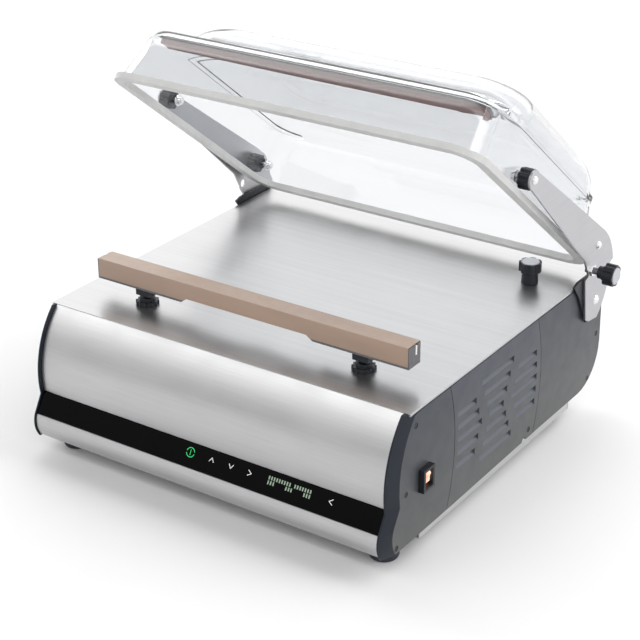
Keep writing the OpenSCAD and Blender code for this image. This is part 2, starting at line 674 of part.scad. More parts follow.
module valve_knob() color(black) at_plate() translate([valve_xy.x, valve_xy.y, 0]) difference() {
  union() {
    translate([0, 0, 0.3]) cylinder(d1 = 20, d2 = 18.5, h = 15);
    translate([0, 0, 15.3]) linear_extrude(11) lobed(knob_d + 1, 7);
    translate([0, 0, -22]) cylinder(d = 8, h = 23);
  }
  translate([0, 0, 25]) cylinder(d = 21, h = 5);
}
module valve_knob_cap() color(cap_grey) at_plate() translate([valve_xy.x, valve_xy.y, 25]) cylinder(d = 20.9, h = 2);
module valve_seat() color([0.78, 0.65, 0.35]) at_plate() translate([valve_xy.x, valve_xy.y, 0]) difference() {
  translate([0, 0, -26]) cylinder(d = 22, h = 26 - plate_t - 0.02, $fn = 6);
  translate([0, 0, -24]) cylinder(d = 8.1, h = 30);
}

module suction_port() color([0.8, 0.8, 0.82]) at_plate() translate([port_xy.x, port_xy.y, 0]) difference() {
  union() {
    translate([0, 0, 0.02]) cylinder(d = 24, h = 2);
    translate([0, 0, -20]) cylinder(d = 15.9, h = 20.1);
  }
  translate([0, 0, -22]) cylinder(d = 11, h = 21);
  for (a = [0:60:300]) rotate(a) translate([3.4, 0, -5]) cylinder(d = 2.2, h = 10);
}

// ---------- inside the body ----------

pump_c = [105, 235, -100];
module vacuum_pump() color([0.45, 0.47, 0.5]) at_plate() difference() {
  union() {
    block([pump_c.x - 38, pump_c.y - 52, -150], [84, 104, 96]);
    for (y = [-48:12:48]) block([pump_c.x - 36, pump_c.y + y, -60], [80, 4, 16]);
    translate([pump_c.x, pump_c.y - 66, -75]) rotate([-90, 0, 0]) cylinder(d = 18, h = 20);
  }
  rod_x(30, pump_c.x + 40, pump_c.x + 50, [pump_c.y, -110]);
}

module pump_motor() color([0.2, 0.32, 0.5]) at_plate() difference() {
  union() {
    rod_x(96, pump_c.x - 168, pump_c.x - 38.1, [pump_c.y, pump_c.z]);
    for (x = [-160:10:-50]) rod_x(100, pump_c.x + x, pump_c.x + x + 3, [pump_c.y, pump_c.z]);
    block([pump_c.x - 140, pump_c.y - 30, -151], [90, 60, 12]);
  }
  rod_x(80, pump_c.x - 169, pump_c.x - 166, [pump_c.y, pump_c.z]);
}

module exhaust_filter() color([0.75, 0.75, 0.72]) at_plate() translate([pump_c.x + 4, pump_c.y + 52.1, -88])
  rotate([-90, 0, 0]) union() {
    cylinder(d = 58, h = 50);
    translate([0, 0, 50]) cylinder(d = 44, h = 6);
  }

module pump_mounts() color(black) at_plate() for (x = [pump_c.x - 130, pump_c.x - 60, pump_c.x + 36], y = [-24, 24])
  translate([x, pump_c.y + y, -plate_h + sheet_t]) cylinder(d = 20, h = plate_h - sheet_t - (x > pump_c.x ? 150 : 151));

// Hoses from the suction port to the valve block and on to the pump
hose_d = 15;
module vacuum_hose() color([0.5, 0.15, 0.12]) at_plate() {
  translate([port_xy.x, port_xy.y, -60]) cylinder(d = hose_d, h = 39.9);
  translate([pump_c.x, port_xy.y + 20.1, -75]) rotate([-90, 0, 0]) cylinder(d = hose_d, h = pump_c.y - 66.2 - port_xy.y - 20.1);
}

module solenoid_valves() color([0.3, 0.3, 0.33]) at_plate() {
  block([-30, port_xy.y - 20, -90], [150, 40, 29.9]);
  for (x = [60, 96]) translate([x, port_xy.y, -60.1]) {
    cylinder(d = 12, h = 8);
    block([-13, -15, 8], [26, 30, 30]);
  }
}

module transformer_core() color([0.3, 0.28, 0.27]) at_plate() difference() {
  block([-195, 85, -plate_h + sheet_t], [84, 60, 74]);
  block([-182, 80, -plate_h + sheet_t + 13], [18, 70, 48]);
  block([-142, 80, -plate_h + sheet_t + 13], [18, 70, 48]);
}

module transformer_coil() color([0.75, 0.45, 0.2]) at_plate() difference() {
  block([-181.5, 74, -plate_h + sheet_t + 14], [57, 82, 46]);
  block([-164.3, 60, -plate_h + sheet_t + 12], [22.6, 110, 50]);
}

module power_board() color("darkgreen") at_plate() {
  block([-205, 180, -150], [110, 120, 1.6]);
  for (x = [-200, -100], y = [186, 294]) translate([x, y, -plate_h + sheet_t]) cylinder(d = 6, h = 11.6);
  for (i = [0:2]) block([-196 + 30 * i, 200, -148.5], [20, 28, 16]);
  block([-190, 250, -148.5], [60, 34, 22]);
}

module lid_switch() color(black) at_plate() {
  block([bracket_x - 12, 345, -40], [11.9, 24, 16]);
  block([bracket_x - 9, 350, -24.1], [5, 3, 8]);
}

// Extrudes an outline drawn in (X, Z) along Y
module along_y(y0, y1) translate([0, y1, 0]) rotate([90, 0, 0]) linear_extrude(y1 - y0) children();

base_tray();
rubber_feet();
foot_screws();
top_plate();
front_panel();
control_glass();
display_board();
lcd_module();
left_end_cap();
right_end_cap();
left_front_cover();
right_front_cover();
left_vent_panel();
right_vent_panel();
left_rear_cover();
right_rear_cover();
rear_panel();
cover_screws();
power_inlet();
inlet_pins();
switch_frame();
switch_rocker();
hinge_brackets();
hinge_ears();
hinge_bushes();
hinge_shaft();
lid_springs();
left_arm();
right_arm();
arm_screws();
arm_spacers();
lid_nuts();
lid_dome();
lid_seal();
counter_bar();
counter_rubber();
lock_nut();
lock_screw();
lock_knob();
lock_knob_cap();
seal_bar();
bar_tape();
heating_band();
bar_posts();
post_collars();
lift_cylinders();
valve_knob();
valve_knob_cap();
valve_seat();
suction_port();
vacuum_pump();
pump_motor();
exhaust_filter();
pump_mounts();
vacuum_hose();
solenoid_valves();
transformer_core();
transformer_coil();
power_board();
lid_switch();
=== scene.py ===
"""Vacuum chamber sealer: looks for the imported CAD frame.

Metres, in the row frame: X right, Y back, Z up, origin at the middle of the base tray's underside.
CAD nodes stay where they are and get procedural finishes. The clear lid is rebuilt as a finer shell,
and the touch marks, the display's rows and the bar's slot liner are added pieces.
"""
import json
import math

import bmesh
import bpy
from mathutils import Matrix, Vector


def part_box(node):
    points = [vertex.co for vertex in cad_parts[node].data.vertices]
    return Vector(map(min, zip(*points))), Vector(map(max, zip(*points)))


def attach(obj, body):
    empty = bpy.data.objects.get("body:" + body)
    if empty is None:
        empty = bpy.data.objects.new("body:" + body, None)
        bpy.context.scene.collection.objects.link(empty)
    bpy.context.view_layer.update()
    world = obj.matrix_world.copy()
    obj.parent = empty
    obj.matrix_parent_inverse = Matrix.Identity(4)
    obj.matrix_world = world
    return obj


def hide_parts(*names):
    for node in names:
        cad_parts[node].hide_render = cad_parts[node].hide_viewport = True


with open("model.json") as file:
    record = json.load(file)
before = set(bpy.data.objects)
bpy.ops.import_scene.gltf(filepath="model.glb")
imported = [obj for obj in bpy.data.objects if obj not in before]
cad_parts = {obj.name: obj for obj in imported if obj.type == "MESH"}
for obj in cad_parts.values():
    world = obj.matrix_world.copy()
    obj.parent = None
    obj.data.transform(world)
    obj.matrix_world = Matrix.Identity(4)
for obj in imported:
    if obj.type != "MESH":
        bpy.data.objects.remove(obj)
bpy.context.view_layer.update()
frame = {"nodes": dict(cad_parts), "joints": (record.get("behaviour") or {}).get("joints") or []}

MM = 0.001
NODES = frame["nodes"]
JOINTS = {joint["name"]: joint for joint in frame["joints"]}


# ---------- camera ----------

CAMERA_AT = (1.02916, -1.50073, 1.00767)
CAMERA_YAW = 0.5995
CAMERA_PITCH = 0.4495
CAMERA_ROLL = -0.0051
CAMERA_LENS = 97.83
SENSOR = 36.0


def make_camera():
    """The photograph's viewpoint: yaw and pitch in radians, and the lens in millimetres."""
    forward = Vector((
        -math.sin(CAMERA_YAW) * math.cos(CAMERA_PITCH),
        math.cos(CAMERA_YAW) * math.cos(CAMERA_PITCH),
        -math.sin(CAMERA_PITCH)))
    level = Vector((math.cos(CAMERA_YAW), math.sin(CAMERA_YAW), 0))
    upright = level.cross(forward)
    right = level * math.cos(CAMERA_ROLL) + upright * math.sin(CAMERA_ROLL)
    up = upright * math.cos(CAMERA_ROLL) - level * math.sin(CAMERA_ROLL)
    turn = Matrix((right, up, -forward)).transposed().to_4x4()
    data = bpy.data.cameras.new("camera")
    data.lens = CAMERA_LENS
    data.sensor_width = SENSOR
    data.clip_start, data.clip_end = 0.05, 60
    camera = bpy.data.objects.new("camera", data)
    camera.matrix_world = Matrix.Translation(CAMERA_AT) @ turn
    bpy.context.scene.collection.objects.link(camera)
    bpy.context.scene.camera = camera


# ---------- finishes ----------

GLOSS_LIMIT = 0.275
COVER_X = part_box("right_vent_panel")[1].x     # outer face of the right vent panel


class Finish:
    """A Principled material. Its patterns are noise in the piece's own space, with sizes in metres."""

    def __init__(self, name, base, rough, **sockets):
        self.mat = bpy.data.materials.new(name)
        self.mat.use_nodes = True
        self.tree = self.mat.node_tree
        self.bsdf = self.tree.nodes["Principled BSDF"]
        self.base = base
        self.coords = self.add("ShaderNodeTexCoord").outputs["Object"]
        self.bump_normal = None
        self.bsdf.inputs["Base Color"].default_value = (*base, 1)
        self.bsdf.inputs["Roughness"].default_value = rough
        for key, value in sockets.items():
            self.bsdf.inputs[key.replace("_", " ")].default_value = value

    def add(self, kind, **settings):
        node = self.tree.nodes.new(kind)
        for key, value in settings.items():
            setattr(node, key, value)
        return node

    def link(self, source, target):
        self.tree.links.new(source, target)

    def noise(self, size, stretch=(1, 1, 1), tilt=0.0, detail=3.0):
        """Noise with features of this size, drawn out along an axis where stretch is above 1."""
        place = self.add("ShaderNodeMapping")
        place.inputs["Rotation"].default_value = (tilt, 0, 0)
        place.inputs["Scale"].default_value = tuple(1 / s for s in stretch)
        noise = self.add("ShaderNodeTexNoise")
        noise.inputs["Scale"].default_value = 1 / size
        noise.inputs["Detail"].default_value = detail
        self.link(self.coords, place.inputs["Vector"])
        self.link(place.outputs["Vector"], noise.inputs["Vector"])
        return noise.outputs["Fac"]

    def mapped(self, value, low, high, start=0.3, end=0.7):
        node = self.add("ShaderNodeMapRange")
        node.inputs["From Min"].default_value = start
        node.inputs["From Max"].default_value = end
        node.inputs["To Min"].default_value = low
        node.inputs["To Max"].default_value = high
        self.link(value, node.inputs["Value"])
        return node.outputs["Result"]

    def blend(self, factor, dark, light):
        node = self.add("ShaderNodeMix", data_type="RGBA")
        self.link(factor, node.inputs["Factor"])
        for socket, value in (("A", dark), ("B", light)):
            target = [i for i in node.inputs if i.name == socket and i.type == "RGBA"][0]
            if isinstance(value, tuple):
                target.default_value = (*value, 1)
            else:
                self.link(value, target)
        return [o for o in node.outputs if o.type == "RGBA"][0]

    def mottle(self, size, share, **kind):
        """Colour that varies by this share of the base either way."""
        factor = self.mapped(self.noise(size, **kind), 0, 1)
        dark = tuple(c * (1 - share) for c in self.base)
        light = tuple(min(c * (1 + share), 1.0) for c in self.base)
        self.link(self.blend(factor, dark, light), self.bsdf.inputs["Base Color"])
        return self

    def sheen_band(self, size, low, high, **kind):
        """Roughness that drifts between two values, all on one side of the denoiser's gloss limit."""
        if (low + high) / 2 < GLOSS_LIMIT:
            high = min(high, GLOSS_LIMIT - 0.005)
        else:
            low = max(low, GLOSS_LIMIT + 0.005)
        self.link(self.mapped(self.noise(size, **kind), low, high), self.bsdf.inputs["Roughness"])
        return self

    def relief(self, size, depth, **kind):
        """Bump of this depth; calls add up."""
        bump = self.add("ShaderNodeBump")
        bump.inputs["Strength"].default_value = 1
        bump.inputs["Distance"].default_value = depth
        self.link(self.noise(size, **kind), bump.inputs["Height"])
        if self.bump_normal is not None:
            self.link(self.bump_normal, bump.inputs["Normal"])
        self.bump_normal = bump.outputs["Normal"]
        self.link(self.bump_normal, self.bsdf.inputs["Normal"])
        return self


def brushed(name, base, rough, grain_axis=0, tilt=0.0, depth=0.006, grain=0.0011):
    """Stainless sheet with fine parallel grain, drifting gloss and a few handling marks."""
    along = [1.0, 1.0, 1.0]
    along[grain_axis] = 60.0
    kind = {"stretch": tuple(along), "tilt": tilt}
    finish = Finish(name, base, rough, Metallic=1.0)
    finish.mottle(grain, 0.04, **kind)
    finish.sheen_band(0.05, rough - 0.05, rough + 0.06, detail=4.0)
    finish.relief(grain * 0.7, depth * MM, **kind)
    finish.relief(0.09, 0.10 * MM, detail=1.0)
    return finish.mat


def moulded(name, base, rough, grain=0.0008, depth=0.03, share=0.10, **sockets):
    """Injection-moulded plastic with a spark-eroded texture."""
    finish = Finish(name, base, rough, **sockets)
    finish.mottle(0.03, share, detail=5.0)
    finish.sheen_band(0.02, rough - 0.06, rough + 0.06, detail=4.0)
    finish.relief(grain, depth * MM, detail=2.0)
    return finish.mat


# Painted light on the louvre vanes' faces, and painted shade deep in the louvres' ends
PAINTED_VANE_LIGHT = (0.085, 0.092, 0.115)
PAINTED_VANE_SHADE = (0.004, 0.004, 0.005)
FACE_BEVEL = 0.35 * MM                      # depth of the face's softened edge
PAINTED_SHADE_DEPTHS = (4.2 * MM, 5.4 * MM)          # depths between which painted shade darkens a vane towards its end


def cover_plastic(name, base, floor_light_gain, rough, vanes=False):
    """Textured cover plastic, paler towards the bottom as painted light from the floor, with painted light
    on the louvre vanes and painted shade at their ends.
    """
    finish = Finish(name, base, rough, Specular_IOR_Level=0.45)
    split = finish.add("ShaderNodeSeparateXYZ")
    finish.link(finish.coords, split.inputs["Vector"])
    # Painted light: lower down, the tone blends into a paler, warmer copy of the base that stands in for
    # light off the floor.
    floor_light_fall = finish.mapped(split.outputs["Z"], 1, 0, start=0.0, end=0.15)
    cloud = finish.mapped(finish.noise(0.03, detail=5.0), 0, 1)
    upper = finish.blend(cloud, tuple(c * 0.92 for c in base), tuple(c * 1.08 for c in base))
    floor_lit_tone = finish.blend(cloud, tuple(c * g * 0.94 for c, g in zip(base, floor_light_gain)),
                         tuple(c * g * 1.06 for c, g in zip(base, floor_light_gain)))
    tone = finish.blend(floor_light_fall, upper, floor_lit_tone)
    if vanes:
        side = finish.add("ShaderNodeMath", operation="ABSOLUTE")
        finish.link(split.outputs["X"], side.inputs[0])
        # Painted light just inside the face, and painted shade deeper into the louvres
        face = COVER_X - FACE_BEVEL
        painted_light_mask = finish.mapped(side.outputs[0], 1, 0, start=face - 0.5 * MM, end=face)
        painted_shade_mask = finish.mapped(side.outputs[0], 1, 0, start=face - PAINTED_SHADE_DEPTHS[1], end=face - PAINTED_SHADE_DEPTHS[0])
        tone = finish.blend(painted_light_mask, tone, PAINTED_VANE_LIGHT)
        tone = finish.blend(painted_shade_mask, tone, PAINTED_VANE_SHADE)
    finish.link(tone, finish.bsdf.inputs["Base Color"])
    finish.sheen_band(0.02, rough - 0.05, rough + 0.05, detail=4.0)
    finish.relief(0.0008, 0.04 * MM, detail=2.0)
    return finish.mat


def painted(name, base, rough, metallic=0.0):
    """Sprayed or cast surface with slight orange peel."""
    finish = Finish(name, base, rough, Metallic=metallic)
    finish.mottle(0.02, 0.12, detail=5.0)
    finish.sheen_band(0.015, rough - 0.08, rough + 0.08)
    finish.relief(0.0015, 0.02 * MM)
    return finish.mat


def turned(name, base, rough):
    """Machined or drawn metal with very fine marks."""
    finish = Finish(name, base, rough, Metallic=1.0)
    finish.mottle(0.004, 0.08)
    finish.sheen_band(0.003, rough - 0.04, rough + 0.08)
    finish.relief(0.0006, 0.004 * MM)
    return finish.mat


def clear_acrylic():
    """Formed acrylic: glass to the eye, open to the lamps so that the plate below stays bright."""
    finish = Finish("clear_acrylic", (0.83, 0.84, 0.852), 0.0, IOR=1.49)
    finish.bsdf.inputs["Transmission Weight"].default_value = 1.0
    finish.bsdf.inputs["Specular IOR Level"].default_value = 0.5
    finish.relief(0.2, 0.08 * MM, detail=0.0)
    clear = finish.add("ShaderNodeBsdfTransparent")
    clear.inputs["Color"].default_value = (0.93, 0.94, 0.945, 1)
    rays = finish.add("ShaderNodeLightPath")
    choice = finish.add("ShaderNodeMixShader")
    out = finish.tree.nodes["Material Output"]
    finish.link(rays.outputs["Is Shadow Ray"], choice.inputs[0])
    finish.link(finish.bsdf.outputs["BSDF"], choice.inputs[1])
    finish.link(clear.outputs["BSDF"], choice.inputs[2])
    finish.link(choice.outputs["Shader"], out.inputs["Surface"])
    return finish.mat


def silicone():
    """Whitish silicone that lets some light in."""
    finish = Finish("silicone", (0.62, 0.62, 0.61), 0.38)
    finish.bsdf.inputs["Transmission Weight"].default_value = 0.25
    finish.bsdf.inputs["Subsurface Weight"].default_value = 0.3
    finish.bsdf.inputs["Subsurface Radius"].default_value = (0.006, 0.006, 0.005)
    finish.mottle(0.02, 0.05, detail=4.0)
    finish.relief(0.004, 0.05 * MM)
    return finish.mat


def glass_cloth():
    """Tan coated glass cloth: a fine plain weave under a slightly waxy surface."""
    finish = Finish("tan_tape", (0.30, 0.20, 0.14), 0.42)
    finish.bsdf.inputs["Coat Weight"].default_value = 0.8
    finish.bsdf.inputs["Coat Roughness"].default_value = 0.30
    finish.mottle(0.035, 0.10, stretch=(4, 1, 1), detail=5.0)
    finish.sheen_band(0.01, 0.36, 0.5)
    finish.relief(0.0005, 0.03 * MM, stretch=(6, 1, 1))
    finish.relief(0.0005, 0.03 * MM, stretch=(1, 6, 6))
    return finish.mat


def lit(name, colour, strength, rough=0.3):
    """A print that glows softly from behind."""
    finish = Finish(name, colour, rough)
    finish.bsdf.inputs["Emission Color"].default_value = (*colour, 1)
    finish.bsdf.inputs["Emission Strength"].default_value = strength
    finish.mottle(0.004, 0.06)
    finish.relief(0.002, 0.005 * MM)
    return finish.mat


def rocker_lens():
    """Lit rocker: orange low down, paler where the lamp sits."""
    finish = Finish("rocker_lens", (0.95, 0.35, 0.12), 0.25)
    finish.bsdf.inputs["Coat Weight"].default_value = 0.4
    low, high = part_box("switch_rocker")
    split = finish.add("ShaderNodeSeparateXYZ")
    finish.link(finish.coords, split.inputs["Vector"])
    span = finish.mapped(split.outputs["Y"], 0, 1, start=low.y, end=high.y)
    glow = finish.blend(span, (1.0, 0.17, 0.03), (1.0, 0.62, 0.5))
    finish.link(glow, finish.bsdf.inputs["Base Color"])
    finish.link(glow, finish.bsdf.inputs["Emission Color"])
    finish.bsdf.inputs["Emission Strength"].default_value = 0.75
    finish.relief(0.003, 0.02 * MM)
    return finish.mat


LID_OPEN = math.radians(38.35)

FINISHES = {
    "plate_steel": brushed("plate_steel", (0.53, 0.53, 0.535), 0.31, depth=0.006, grain=0.004),
    "front_steel": brushed("front_steel", (0.51, 0.51, 0.515), 0.33),
    "arm_steel": brushed("arm_steel", (0.47, 0.47, 0.485), 0.34, grain_axis=1, tilt=LID_OPEN),
    "tray_steel": brushed("tray_steel", (0.62, 0.62, 0.62), 0.38, grain_axis=1),
    "bright_screw": turned("bright_screw", (0.78, 0.78, 0.79), 0.16),
    "steel_shaft": turned("steel_shaft", (0.5, 0.5, 0.51), 0.3),
    "dark_rod": turned("dark_rod", (0.16, 0.16, 0.17), 0.32),
    # The gains paint light from the floor onto the covers' lower parts.
    "grey_cover": cover_plastic("grey_cover", (0.022, 0.027, 0.038), (3.6, 3.0, 2.1), 0.40),
    "louvre_cover": cover_plastic("louvre_cover", (0.030, 0.036, 0.050), (2.8, 2.4, 1.7), 0.40, True),
    "end_cap_plastic": moulded("end_cap_plastic", (0.006, 0.010, 0.017), 0.30, depth=0.008,
                               Specular_IOR_Level=0.28),
    "black_glass": moulded("black_glass", (0.0008, 0.0008, 0.001), 0.16, grain=0.05, depth=0.0,
                           share=0.2, Specular_IOR_Level=0.06),
    "black_plastic": moulded("black_plastic", (0.010, 0.012, 0.016), 0.38, grain=0.0006, depth=0.015,
                             Specular_IOR_Level=0.32),
    "black_screw": painted("black_screw", (0.006, 0.006, 0.007), 0.5),
    "foot_rubber": moulded("foot_rubber", (0.014, 0.018, 0.028), 0.55, grain=0.001, depth=0.03),
    "cap_grey": moulded("cap_grey", (0.40, 0.41, 0.44), 0.34, grain=0.001, depth=0.01, share=0.04),
    "clear_acrylic": clear_acrylic(),
    "silicone": silicone(),
    "counter_rubber": moulded("counter_rubber", (0.16, 0.058, 0.05), 0.5, grain=0.001, depth=0.02),
    "dark_channel": painted("dark_channel", (0.03, 0.032, 0.036), 0.35, metallic=0.6),
    "tan_tape": glass_cloth(),
    "bar_aluminium": turned("bar_aluminium", (0.16, 0.155, 0.16), 0.38),
    "heating_metal": turned("heating_metal", (0.55, 0.53, 0.5), 0.3),
    "rocker_lens": rocker_lens(),
    "pale_liner": moulded("pale_liner", (0.72, 0.70, 0.68), 0.45, depth=0.01, share=0.05),
    "brass": turned("brass", (0.62, 0.46, 0.2), 0.25),
    "bearing_plastic": moulded("bearing_plastic", (0.6, 0.58, 0.5), 0.4),
    "spring_steel": turned("spring_steel", (0.35, 0.35, 0.37), 0.3),
    "pump_casting": painted("pump_casting", (0.33, 0.35, 0.38), 0.45, metallic=0.7),
    "motor_paint": painted("motor_paint", (0.04, 0.08, 0.19), 0.4),
    "filter_can": painted("filter_can", (0.55, 0.55, 0.52), 0.35),
    "hose_rubber": moulded("hose_rubber", (0.12, 0.02, 0.015), 0.5),
    "core_laminate": painted("core_laminate", (0.08, 0.075, 0.07), 0.5, metallic=0.5),
    "copper_coil": turned("copper_coil", (0.55, 0.26, 0.09), 0.35),
    "circuit_board": moulded("circuit_board", (0.01, 0.09, 0.035), 0.35, grain=0.002),
    "lcd_panel": moulded("lcd_panel", (0.012, 0.015, 0.013), 0.25, grain=0.004, depth=0.005),
    "gold_pins": turned("gold_pins", (0.75, 0.55, 0.2), 0.22),
}


# Finish of each CAD node, and the width in millimetres to which its edges are broken
NODE_FINISH = {
    "base_tray": ("tray_steel", 0.3),
    "rubber_feet": ("foot_rubber", 0.8),
    "foot_screws": ("bright_screw", 0.3),
    "top_plate": ("plate_steel", 0.6),
    "front_panel": ("front_steel", 0.25),
    "control_glass": ("black_glass", 0.3),
    "display_board": ("circuit_board", 0.1),
    "lcd_module": ("lcd_panel", 0.3),
    "left_end_cap": ("end_cap_plastic", 0.5),
    "right_end_cap": ("end_cap_plastic", 0.5),
    "left_front_cover": ("grey_cover", 0.4),
    "right_front_cover": ("grey_cover", 0.4),
    "left_vent_panel": ("louvre_cover", 0.25),
    "right_vent_panel": ("louvre_cover", 0.25),
    "left_rear_cover": ("grey_cover", 0.4),
    "right_rear_cover": ("grey_cover", 0.4),
    "rear_panel": ("tray_steel", 0.2),
    "cover_screws": ("black_screw", 0.3),
    "power_inlet": ("black_plastic", 0.4),
    "inlet_pins": ("gold_pins", 0.3),
    "switch_frame": ("black_plastic", 0.6),
    "switch_rocker": ("rocker_lens", 0.5),
    "hinge_brackets": ("tray_steel", 0.3),
    "hinge_ears": ("black_plastic", 0.4),
    "hinge_bushes": ("bearing_plastic", 0.2),
    "hinge_shaft": ("steel_shaft", 0.5),
    "lid_springs": ("spring_steel", 0.0),
    "left_arm": ("arm_steel", 0.3),
    "right_arm": ("arm_steel", 0.3),
    "arm_screws": ("bright_screw", 0.2),
    "arm_spacers": ("black_plastic", 0.6),
    "lid_nuts": ("bright_screw", 0.3),
    "lid_seal": ("silicone", 1.2),
    "counter_bar": ("dark_channel", 0.4),
    "counter_rubber": ("counter_rubber", 1.0),
    "lock_nut": ("bright_screw", 0.3),
    "lock_screw": ("dark_rod", 0.5),
    "lock_knob": ("black_plastic", 1.0),
    "lock_knob_cap": ("cap_grey", 0.4),
    "seal_bar": ("bar_aluminium", 0.4),
    "bar_tape": ("tan_tape", 0.9),
    "heating_band": ("heating_metal", 0.05),
    "bar_posts": ("black_plastic", 0.6),
    "post_collars": ("black_plastic", 0.6),
    "lift_cylinders": ("pump_casting", 0.6),
    "valve_knob": ("black_plastic", 1.0),
    "valve_knob_cap": ("cap_grey", 0.4),
    "valve_seat": ("brass", 0.4),
    "suction_port": ("bright_screw", 0.4),
    "vacuum_pump": ("pump_casting", 0.8),
    "pump_motor": ("motor_paint", 0.4),
    "exhaust_filter": ("filter_can", 0.8),
    "pump_mounts": ("foot_rubber", 0.6),
    "vacuum_hose": ("hose_rubber", 0.3),
    "solenoid_valves": ("pump_casting", 0.6),
    "transformer_core": ("core_laminate", 0.4),
    "transformer_coil": ("copper_coil", 0.8),
    "power_board": ("circuit_board", 0.2),
    "lid_switch": ("black_plastic", 0.3),
}


WELD_WITHIN = 0.01 * MM
FLAT_WITHIN = math.radians(0.2)
SHARP_ABOVE = math.radians(32)
# Ring-shaped faces keep their triangles: one face with a hole would be filled in across it
RING_NODES = ("lid_seal",)


def shade(obj, broken, dissolve=True):
    """Welds the imported corners, breaks the edges by this many millimetres and shades smoothly."""
    for name in ("custom_normal", "sharp_edge", "sharp_face"):
        if name in obj.data.attributes:
            obj.data.attributes.remove(obj.data.attributes[name])
    obj.data.shade_smooth()
    weld = obj.modifiers.new("weld", "WELD")
    weld.merge_threshold = WELD_WITHIN
    if broken > 0 and dissolve:
        flat = obj.modifiers.new("flat_faces", "DECIMATE")
        flat.decimate_type = "DISSOLVE"
        flat.angle_limit = FLAT_WITHIN
    if broken > 0:
        bevel = obj.modifiers.new("broken_edges", "BEVEL")
        bevel.width = broken * MM
        bevel.segments = 2 if broken < 0.7 else 3
        bevel.limit_method = "ANGLE"
        bevel.angle_limit = SHARP_ABOVE
        bevel.use_clamp_overlap = True
    even = obj.modifiers.new("even_normals", "WEIGHTED_NORMAL")
    even.mode = "FACE_AREA"
    even.weight = 100


def dress_nodes():
    """Gives each CAD node its finish and its broken edges."""
    for name, (finish, broken) in NODE_FINISH.items():
        node = NODES[name]
        node.data.materials.clear()
        node.data.materials.append(FINISHES[finish])
        shade(node, broken, dissolve=name not in RING_NODES)


# ---------- added pieces ----------

def piece(name, points, faces, finish, body, smooth=True):
    """An added mesh piece that rides on a body."""
    mesh = bpy.data.meshes.new(name)
    mesh.from_pydata([tuple(p) for p in points], [], faces)
    mesh.update()
    tidy = bmesh.new()
    tidy.from_mesh(mesh)
    bmesh.ops.recalc_face_normals(tidy, faces=tidy.faces)
    tidy.to_mesh(mesh)
    tidy.free()
    for face in mesh.polygons:
        face.use_smooth = smooth
    mesh.materials.append(FINISHES[finish])
    obj = bpy.data.objects.new(name, mesh)
    bpy.context.scene.collection.objects.link(obj)
    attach(obj, body)
    return obj


# The lid's skin, drawn shut in the plate frame in millimetres: Y from the plate's front edge, Z from its top
PLATE_FRONT = -186.0
PLATE_TOP = 163.0
LID_FRONT = 7.0
LID_DEPTH = 374.0
LID_R = 36.0
LEDGE = 75.0
ROOF = 119.0
WALL = 6.0
WALL_X = 236.0
WALL_LEAN = 0.13
FOLD_STEPS = 9
DOME_STEPS = 18
CORNER_STEPS = 20
RIM_ANGLE = math.radians(50)
PIVOT = Vector(JOINTS["lid_hinge"]["pos_m"])


def wall_at(z):
    """Half width of the lid's outside at a height above the plate."""
    return WALL_X - WALL_LEAN * (z - 6)


def lid_rows(inset):
    """Rows of the skin from rim to roof: (height, half width, front, back, corner radius)."""
    back = LID_FRONT + LID_DEPTH
    rows = []
    for z in (4, 20, 40, LEDGE - 14):
        rows.append((z, wall_at(z) - inset, LID_FRONT + 4 + 0.24 * (z - 4) + inset,
                     back - 5 - 0.1 * (z - 4) - inset, LID_R - 4 - inset))
    for step in range(1, FOLD_STEPS + 1):
        a = math.radians(90 * step / FOLD_STEPS)
        rows.append((LEDGE - 14 + (14 - inset) * math.sin(a), wall_at(LEDGE - 14) - inset,
                     43 - (15 - inset) * math.cos(a), back - 11 - inset, LID_R - 2 - inset))
    rows.append((LEDGE + 1 - inset, wall_at(LEDGE) - inset, 84 + inset, back - 12 - inset,
                 LID_R + 4 - inset))
    for step in range(1, DOME_STEPS + 1):
        a = math.radians(90 * step / DOME_STEPS)
        up, out = math.sin(a), math.cos(a)
        rows.append((LEDGE + 3 + (ROOF - LEDGE - 3 - inset) * up, wall_at(LEDGE) - 44 + (44 - inset) * out,
                     126 - (38 - inset) * out, back - 62 + (48 - inset) * out, LID_R + 6 - inset * out))
    return rows


def lid_ring(row):
    """One row's points round a rounded rectangle."""
    z, x, front, back, r = row
    centres = ((x - r, back - r, 0), (-x + r, back - r, 90),
               (-x + r, front + r, 180), (x - r, front + r, 270))
    points = []
    for cx, cy, start in centres:
        for step in range(CORNER_STEPS + 1):
            a = math.radians(start + 90 * step / CORNER_STEPS)
            points.append(swung(cx + r * math.cos(a), cy + r * math.sin(a), z))
    return points


def swung(x, y, z):
    """A point of the shut lid, in the row frame with the lid at rest."""
    shut = Vector((x, y + PLATE_FRONT, z + PLATE_TOP)) * MM
    return PIVOT + Matrix.Rotation(-LID_OPEN, 3, "X") @ (shut - PIVOT)


def make_lid_shell():
    """The lid as an outer and an inner skin, closed at the rim and over both roofs."""
    outer, inner = lid_rows(0), lid_rows(WALL)
    points = [p for row in outer + inner for p in lid_ring(row)]
    m, n = 4 * (CORNER_STEPS + 1), len(outer)
    faces = []
    for base in (0, n):
        for k in range(base, base + n - 1):
            for i in range(m):
                j = (i + 1) % m
                faces.append((k * m + i, k * m + j, (k + 1) * m + j, (k + 1) * m + i))
        faces.append(tuple((base + n - 1) * m + i for i in range(m)))
    faces += [(i, (i + 1) % m, n * m + (i + 1) % m, n * m + i) for i in range(m)]
    shell = piece("lid_shell", points, faces, "clear_acrylic", "lid")
    shell.data.set_sharp_from_angle(angle=RIM_ANGLE)
    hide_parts("lid_dome")


LINER_BREAK = 0.25


